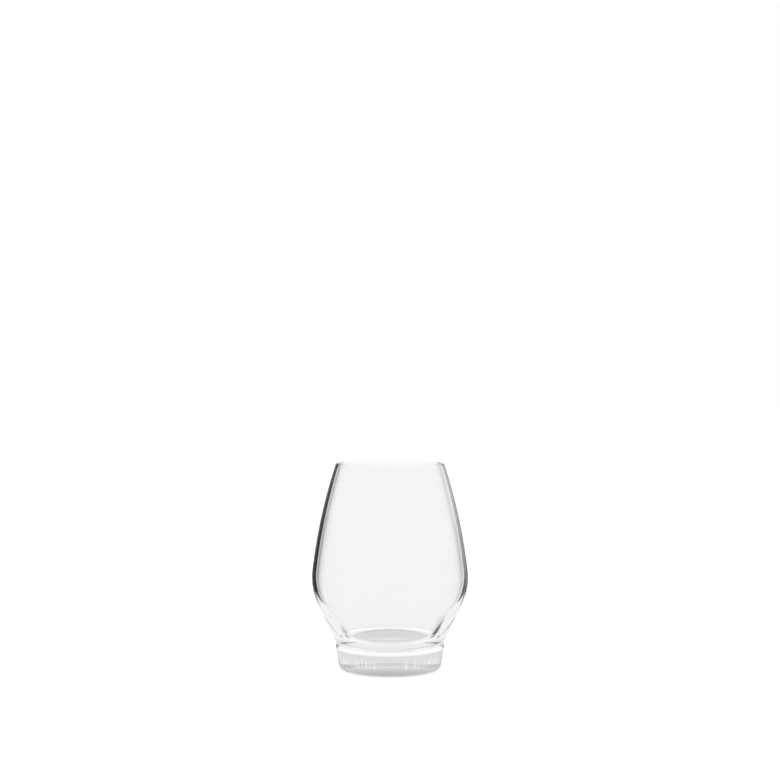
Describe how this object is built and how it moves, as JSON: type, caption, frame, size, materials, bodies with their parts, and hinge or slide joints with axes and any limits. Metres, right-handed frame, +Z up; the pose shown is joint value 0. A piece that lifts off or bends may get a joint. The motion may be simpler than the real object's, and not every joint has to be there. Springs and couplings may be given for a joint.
{
  "type": "whisky nosing glass",
  "caption": "Clear whisky nosing glass: a bowl with a low belly and a narrow rounded lip, fused to a heavy tapered foot that it stands on.",
  "frame": {"origin": "centre of the ring that the foot stands on, at table level", "axes": "+Z up along the axis of the glass, +X to the right and +Y away from the viewer in the picture"},
  "size_m": [0.072, 0.072, 0.095],
  "materials": {
    "clear_glass": "fire-polished colourless crystal glass"
  },
  "bodies": {
    "root": {"bowl": "clear_glass", "foot": "clear_glass"}
  },
  "joints": []
}
